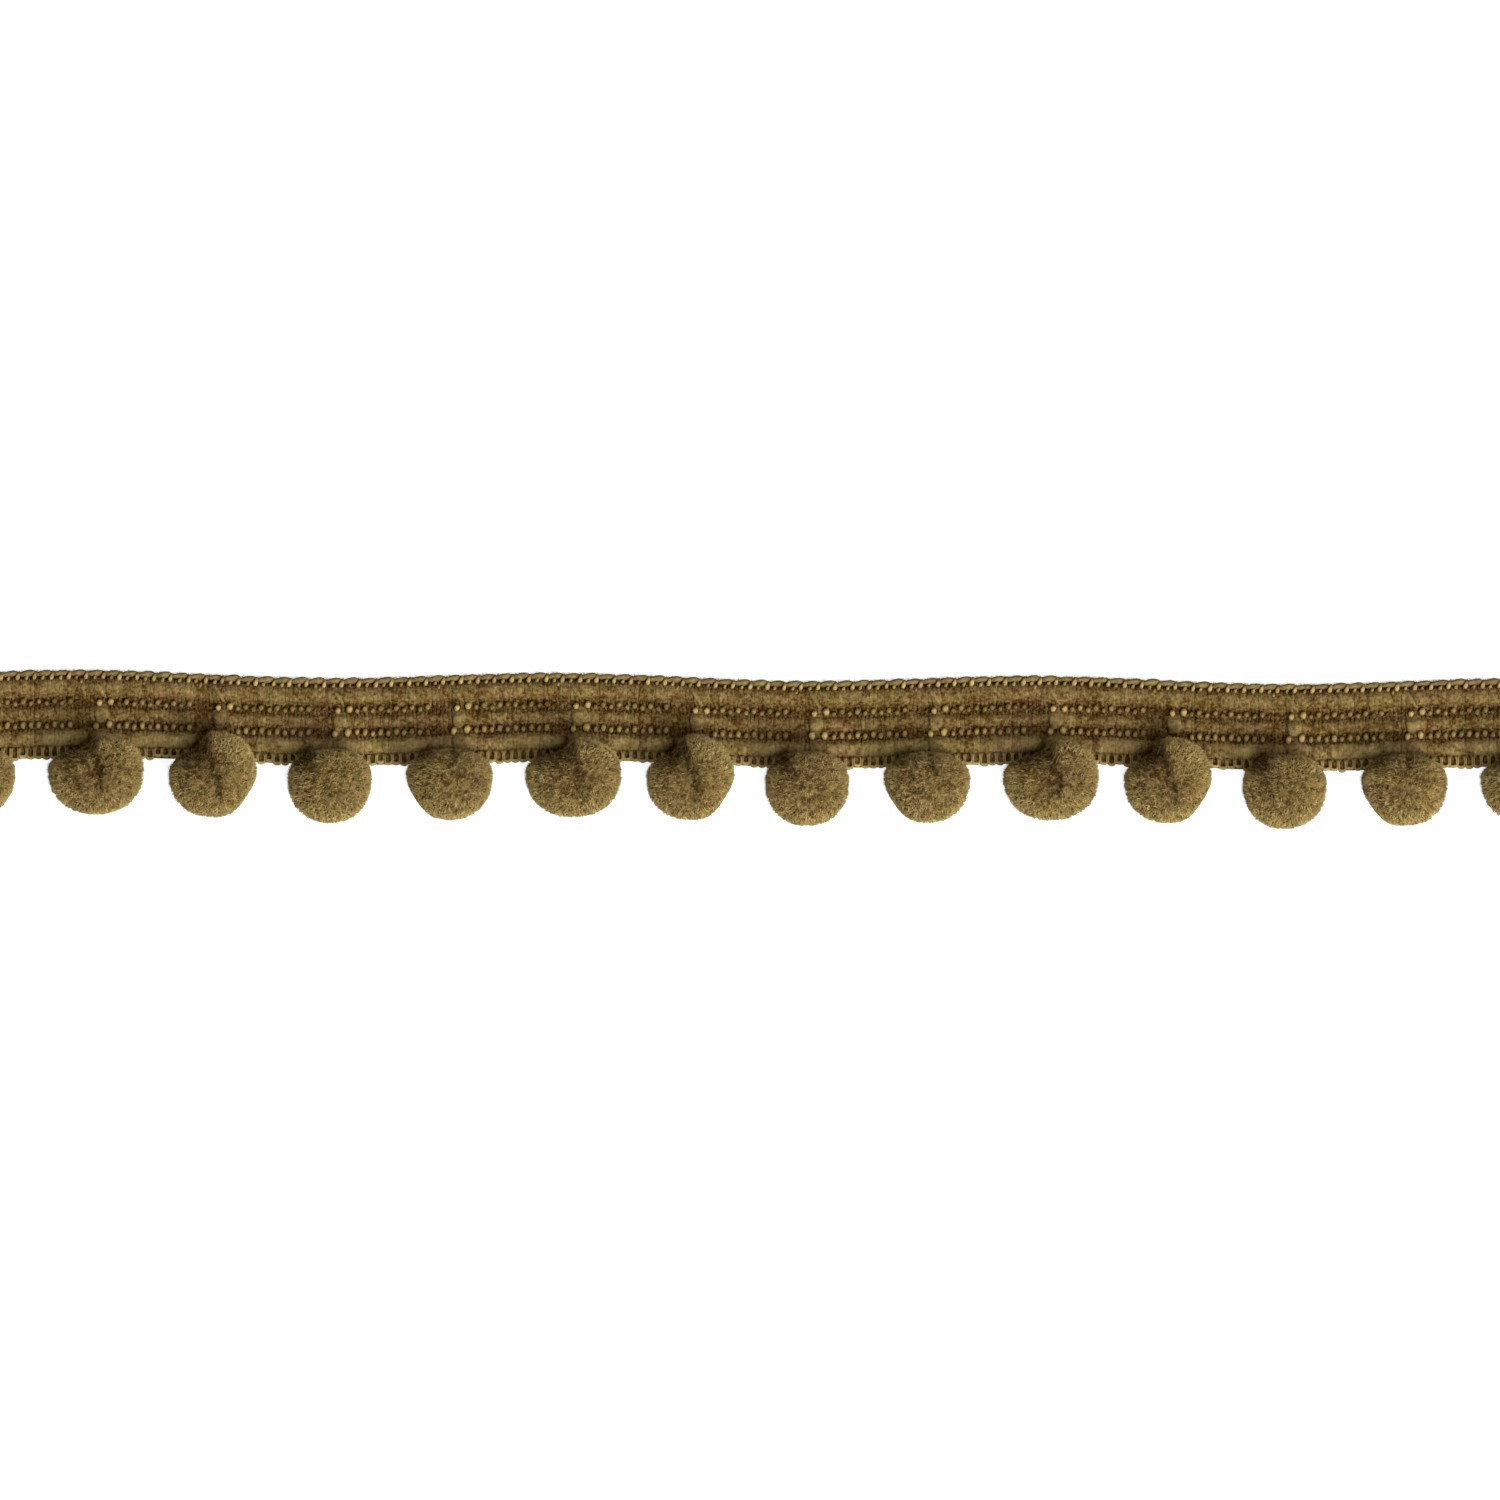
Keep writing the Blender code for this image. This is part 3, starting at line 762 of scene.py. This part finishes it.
def core_ball(form, centre, edge_y):
    """Points and faces of a closed ball under the pile."""
    levels, sides = CORE_LEVELS, CORE_SIDES
    polar = np.linspace(0, math.pi, levels + 2)[1:-1, None]
    around = np.linspace(0, 2 * math.pi, sides, endpoint=False)
    rings = np.stack(np.broadcast_arrays(np.sin(polar) * np.cos(around), np.sin(polar) * np.sin(around),
                                         np.cos(polar)), axis=-1).reshape(-1, 3)
    ends = np.array(((0, 0, 1.0), (0, 0, -1.0)))
    points, _ = pile_surface(np.concatenate((rings, ends)), form, CORE_SHARE)
    index = np.arange(levels * sides).reshape(levels, sides)
    turned = np.roll(index, -1, axis=1)
    walls = np.stack((index[:-1], index[1:], turned[1:], turned[:-1]), axis=-1).reshape(-1, 4)
    top = np.stack((np.full(sides, levels * sides), index[0], turned[0]), axis=-1)
    bottom = np.stack((np.full(sides, levels * sides + 1), turned[-1], index[-1]), axis=-1)
    triangles = np.concatenate((walls[:, :3], walls[:, (0, 2, 3)], top, bottom))
    return centre + kept_clear(points, centre, edge_y, 0.2 * MM), triangles


def pile_tones(directions, tips, crease, form, draw):
    """Each fibre's tone with its painted light and shade, its painted lighting (lit), which darkens the fibre
    as painted shade where low, and how much of its clump's own tone it takes on.
    """
    x, y, z = directions.T
    facing_painted_light = directions @ PAINTED_LIGHT_TOWARDS
    # Painted light on the side that faces the lamps, and painted shade in the crease
    tones = PILE_TONE + draw.normal(0, 0.08, PILE_FIBRES) + 0.13 * facing_painted_light - 0.35 * crease
    # Painted sheen on the rim of the side that faces the lamps
    tones = tones + 0.16 * smooth_step(np.hypot(x, y), 0.4, 0.8) * smooth_step(facing_painted_light, -0.4, 0.2)
    # Painted light on the left rim
    tones = tones + 0.30 * smooth_step(-x, 0.6, 0.9)
    # Painted light on the far side, which faces away from the lamps
    tones = tones + 0.20 * smooth_step(y, 0.2, 0.7) * smooth_step(x, -0.4, 0.0)
    upper = smooth_step(z, -0.3, 0.3)
    lit = np.ones(PILE_FIBRES)
    uneven = np.full(PILE_FIBRES, 0.5)
    # Patches paint shadow or light onto the pile; their shade darkens the fibres as painted shade
    for patch in form.patches:
        in_patch = np.exp(-((np.linalg.norm(tips[:, :2] - patch.place, axis=1) / patch.radius) ** 2)) * upper
        tones = tones + patch.tone * in_patch
        lit = lit * (1 - patch.shade * in_patch)
        uneven = uneven - 2 * patch.tone * in_patch
    return tones, lit, np.clip(uneven, 0.3, 1.2)


def pompom(index, material):
    """Cut pile on a core. The fibres lean together in clumps, with dark gaps between them."""
    draw = np.random.default_rng(PILE_SEED + index)
    form = pompom_form(index)
    x = pompom_x(index)
    edge_y = far_edge(x) - HEADING_WIDTH
    centre = np.array((x + form.shift, edge_y - CENTRE_DROP, CENTRE_HEIGHT))
    directions = ball_directions(PILE_FIBRES, draw, 0.008)
    clumps = ball_directions(CLUMPS, draw, 0.03)
    near = directions @ clumps.T
    nearest = near.argmax(axis=1)
    aside = np.arccos(np.clip(near.max(axis=1), -1, 1))
    length = TIP_SHARE + draw.normal(0, 0.012, CLUMPS)[nearest] + draw.normal(0, 0.012, PILE_FIBRES)
    length = length - 0.35 * aside
    towards_clumps = (clumps[nearest] - directions) * 0.35
    lean = normalised(directions + towards_clumps + draw.normal(0, 0.08, (PILE_FIBRES, 3)))
    tips, crease = pile_surface(lean, form, length)
    roots, _ = pile_surface(directions, form, ROOT_SHARE)
    tips = kept_clear(tips, centre, edge_y, 0.02 * MM)
    roots = kept_clear(roots, centre, edge_y, 0.25 * MM)
    tones, lit, uneven = pile_tones(directions, tips, crease, form, draw)
    # Some clumps are painted darker, as shade among the others, and each clump's tone also differs a little
    # at random
    sunk = np.where(draw.random(CLUMPS) < CLUMPS_IN_PAINTED_SHADE, 0.4, 0.0) + draw.normal(0, 0.10, CLUMPS)
    tones = np.clip(tones - sunk[nearest] * uneven, 0, 1)
    pile = Fabric()
    pile.spikes(centre + roots, centre + tips, FIBRE_WIDTH, tones, 0.4 * lit, lit)
    chosen = draw.choice(PILE_FIBRES, LOOSE_FIBRES, replace=False)
    loose = normalised(directions[chosen] + draw.normal(0, 0.05, (LOOSE_FIBRES, 3)))
    loose_tips, _ = pile_surface(loose, form, LOOSE_TIP_SHARE + draw.normal(0, 0.018, LOOSE_FIBRES))
    loose_tips = centre + kept_clear(loose_tips, centre, edge_y, 0.02 * MM)
    loose_tones = np.full(LOOSE_FIBRES, 0.6)
    depths = np.full(LOOSE_FIBRES, 0.3), np.ones(LOOSE_FIBRES)
    pile.spikes(centre + roots[chosen], loose_tips, LOOSE_FIBRE_WIDTH, loose_tones, *depths)
    # The core is painted dark, as the shade deep in the pile
    pile.add(*core_ball(form, centre, edge_y), 0.25, 0.45)
    return pile.piece(f"pompom_pile_{index + 1:02d}", material, f"pompom_{index + 1:02d}")


SPECULAR = 0.06
NOISE_RANGE = (0.3, 0.7)


class Nodes:
    """A short way to build a material's node tree."""

    def __init__(self, name, roughness):
        self.material = bpy.data.materials.new(name)
        self.material.use_nodes = True
        self.tree = self.material.node_tree
        self.shader = self.tree.nodes["Principled BSDF"]
        self.shader.inputs["Roughness"].default_value = roughness
        self.shader.inputs["Specular IOR Level"].default_value = SPECULAR
        self.place = self.add("ShaderNodeTexCoord").outputs["Object"]

    def add(self, kind, **values):
        node = self.tree.nodes.new(kind)
        for name, value in values.items():
            setattr(node, name, value)
        return node

    def put(self, value, socket):
        if isinstance(value, bpy.types.NodeSocket):
            self.tree.links.new(value, socket)
        else:
            socket.default_value = value

    def math(self, operation, first, second):
        node = self.add("ShaderNodeMath", operation=operation)
        self.put(first, node.inputs[0])
        self.put(second, node.inputs[1])
        return node.outputs[0]

    def mix(self, factor, first, second, blend="MIX"):
        node = self.add("ShaderNodeMix", data_type="RGBA", blend_type=blend)
        self.put(factor, node.inputs["Factor"])
        self.put(first, node.inputs["A"])
        self.put(second, node.inputs["B"])
        return node.outputs["Result"]

    def noise(self, size, detail=2.0, stretch=(1, 1, 1)):
        """Noise whose lumps are about size metres, stretched along an axis where stretch is less than 1."""
        mapping = self.add("ShaderNodeMapping")
        mapping.inputs["Scale"].default_value = [share / size for share in stretch]
        self.put(self.place, mapping.inputs["Vector"])
        noise = self.add("ShaderNodeTexNoise")
        noise.inputs["Scale"].default_value = 1.0
        noise.inputs["Detail"].default_value = detail
        self.put(mapping.outputs[0], noise.inputs["Vector"])
        return noise.outputs["Fac"]

    def attribute(self, name):
        return self.add("ShaderNodeAttribute", attribute_name=name).outputs["Fac"]

    def ranged(self, value, low, high):
        node = self.add("ShaderNodeMapRange")
        self.put(value, node.inputs["Value"])
        for socket, number in zip(("From Min", "From Max", "To Min", "To Max"), (*NOISE_RANGE, low, high)):
            node.inputs[socket].default_value = number
        return node.outputs["Result"]

    def bump(self, height, distance):
        node = self.add("ShaderNodeBump")
        node.inputs["Distance"].default_value = distance
        self.put(height, node.inputs["Height"])
        self.tree.links.new(node.outputs["Normal"], self.shader.inputs["Normal"])

    def colour(self, value):
        self.put(value, self.shader.inputs["Base Color"])
        return self.material


# Yarns' colours run from dark to light, with a yellowish or a reddish tint from patch to patch. Colours are
# linear red, green and blue.
YarnLook = namedtuple("YarnLook", "name dark light roughness fibre_stretch uneven")
FELTED = YarnLook("felted_yarn", (0.085, 0.034, 0.005), (0.62, 0.46, 0.20), 0.95, (1, 0.35, 1), 0.72)
CORD = YarnLook("cord_yarn", (0.08, 0.042, 0.007), (0.42, 0.31, 0.135), 0.9, (0.35, 1, 1), 0.8)
CHAIN = YarnLook("chain_thread", (0.07, 0.03, 0.003), (0.65, 0.465, 0.205), 0.7, (0.5, 1, 1), 0.5)
BINDING = YarnLook("binding_thread", (0.06, 0.03, 0.008), (0.40, 0.285, 0.115), 0.85, (1, 0.3, 1), 1.0)
YELLOWISH = (0.98, 1.05, 0.88, 1)
REDDISH = (1.0, 0.985, 0.97, 1)
FIBRE_RELIEF = 0.12 * MM


def yarn_material(look):
    """Spun yarn: its tone goes from dark to light, with a mottle of its own and fine fibres along it."""
    nodes = Nodes(look.name, look.roughness)
    mottle = nodes.noise(1.0 * MM, 3.0)
    flecks = nodes.noise(0.42 * MM, 2.0)
    patches = nodes.noise(3.5 * MM, 1.0)
    fibres = nodes.noise(0.16 * MM, 3.0, look.fibre_stretch)
    tone = nodes.attribute("tone")
    for noise, strength in ((mottle, 0.18), (flecks, 0.24), (fibres, 0.12)):
        strength = strength * look.uneven
        tone = nodes.math("ADD", tone, nodes.ranged(noise, -strength, strength))
    tone.node.use_clamp = True
    nodes.bump(fibres, FIBRE_RELIEF)
    plain = nodes.mix(tone, (*look.dark, 1), (*look.light, 1))
    yellowish = nodes.mix(1.0, plain, YELLOWISH, "MULTIPLY")
    reddish = nodes.mix(1.0, plain, REDDISH, "MULTIPLY")
    return nodes.colour(nodes.mix(nodes.ranged(patches, 0, 1), yellowish, reddish))


WARM_PILE = (0.11, 0.062, 0.018, 1), (0.79, 0.59, 0.25, 1)
YELLOW_PILE = (0.11, 0.072, 0.018, 1), (0.79, 0.62, 0.23, 1)
ROOT_SHADE = (0.28, 0.2, 0.14, 1)


def pile_material():
    """Cut pile: darker where the depth attribute is low, towards the roots of its fibres, in the core and in
    shaded patches, which is painted shade; and warmer or yellower from clump to clump.
    """
    nodes = Nodes("cut_pile", 0.9)
    mottle = nodes.noise(1.0 * MM, 2.0)
    specks = nodes.noise(0.5 * MM, 1.0)
    hue = nodes.noise(3.5 * MM)
    tone = nodes.math("ADD", nodes.attribute("tone"), nodes.ranged(mottle, -0.16, 0.14))
    tone = nodes.math("ADD", tone, nodes.ranged(specks, -0.18, 0.14))
    tone.node.use_clamp = True
    warm = nodes.mix(tone, *WARM_PILE)
    yellow = nodes.mix(tone, *YELLOW_PILE)
    colour = nodes.mix(nodes.ranged(hue, 0, 1), warm, yellow)
    root = nodes.mix(1.0, colour, ROOT_SHADE, "MULTIPLY")
    return nodes.colour(nodes.mix(nodes.attribute("depth"), root, colour))


FLOOR_HALF_SIDE = 3.0
FLOOR_DROP = 0.05 * MM


def floor():
    """A pale floor, just below what the trim lies on. It sends no light of its own onto the trim."""
    mesh = bpy.data.meshes.new("floor")
    corners = [(FLOOR_HALF_SIDE * x, FLOOR_HALF_SIDE * y, 0) for x, y in ((-1, -1), (1, -1), (1, 1), (-1, 1))]
    mesh.from_pydata(corners, [], [(0, 1, 2, 3)])
    material = bpy.data.materials.new("pale_floor")
    material.use_nodes = True
    shader = material.node_tree.nodes["Principled BSDF"]
    shader.inputs["Base Color"].default_value = (0.82, 0.83, 0.84, 1)
    shader.inputs["Roughness"].default_value = 0.9
    shader.inputs["Emission Color"].default_value = (0.95, 0.98, 1, 1)
    shader.inputs["Emission Strength"].default_value = 0.85
    mesh.materials.append(material)
    obj = bpy.data.objects.new("floor", mesh)
    obj.location.z = -FLOOR_DROP
    obj.visible_diffuse = False
    bpy.context.scene.collection.objects.link(obj)


def area_light(name, place, size, power, colour):
    """A soft light that shines from place towards the middle of the trim."""
    lamp = bpy.data.lights.new(name, "AREA")
    lamp.shape = "DISK"
    lamp.size = size
    lamp.energy = power
    lamp.color = colour
    obj = bpy.data.objects.new(name, lamp)
    obj.location = place
    obj.rotation_euler = (-obj.location).to_track_quat("-Z", "Y").to_euler()
    bpy.context.scene.collection.objects.link(obj)


WORLD_COLOUR = (1.0, 0.97, 0.91, 1)
WORLD_STRENGTH = 0.25
LAMP_COLOUR = (1.0, 0.98, 0.95)


def lights():
    world = bpy.data.worlds.new("pale_world")
    world.use_nodes = True
    background = world.node_tree.nodes["Background"]
    background.inputs["Color"].default_value = WORLD_COLOUR
    background.inputs["Strength"].default_value = WORLD_STRENGTH
    bpy.context.scene.world = world
    area_light("key_light", (0.66, -0.50, 1.36), 1.4, 21, LAMP_COLOUR)
    area_light("near_light", (0.75, -0.75, 1.18), 0.45, 11, LAMP_COLOUR)


# The camera looks straight down, from so far that the frame's side is 180 mm, as in the photograph
CAMERA_HEIGHT = 2.5
FRAME_SIDE = 0.180
EDGE_ABOVE_CENTRE = 8.46 * MM


def camera():
    data = bpy.data.cameras.new("camera")
    data.sensor_width = 36.0
    data.lens = data.sensor_width * CAMERA_HEIGHT / FRAME_SIDE
    obj = bpy.data.objects.new("camera", data)
    obj.location = (0, float(far_edge(0.0)) - EDGE_ABOVE_CENTRE, CAMERA_HEIGHT)
    bpy.context.scene.collection.objects.link(obj)
    bpy.context.scene.camera = obj
    bpy.context.scene.view_settings.view_transform = "Standard"


def main():
    camera()
    floor()
    lights()
    felted = yarn_material(FELTED)
    cord = yarn_material(CORD)
    chain = yarn_material(CHAIN)
    binding = yarn_material(BINDING)
    tape = heading_tape(felted)
    yarns = inlaid_yarns(felted)
    stitches = chain_stitches(chain)
    edge = corded_edge(cord)
    bindings = binding_yarns(binding)
    fuzz = heading_fuzz(felted)
    pile = pile_material()
    for index in range(POMPOM_COUNT):
        pompom(index, pile)


main()
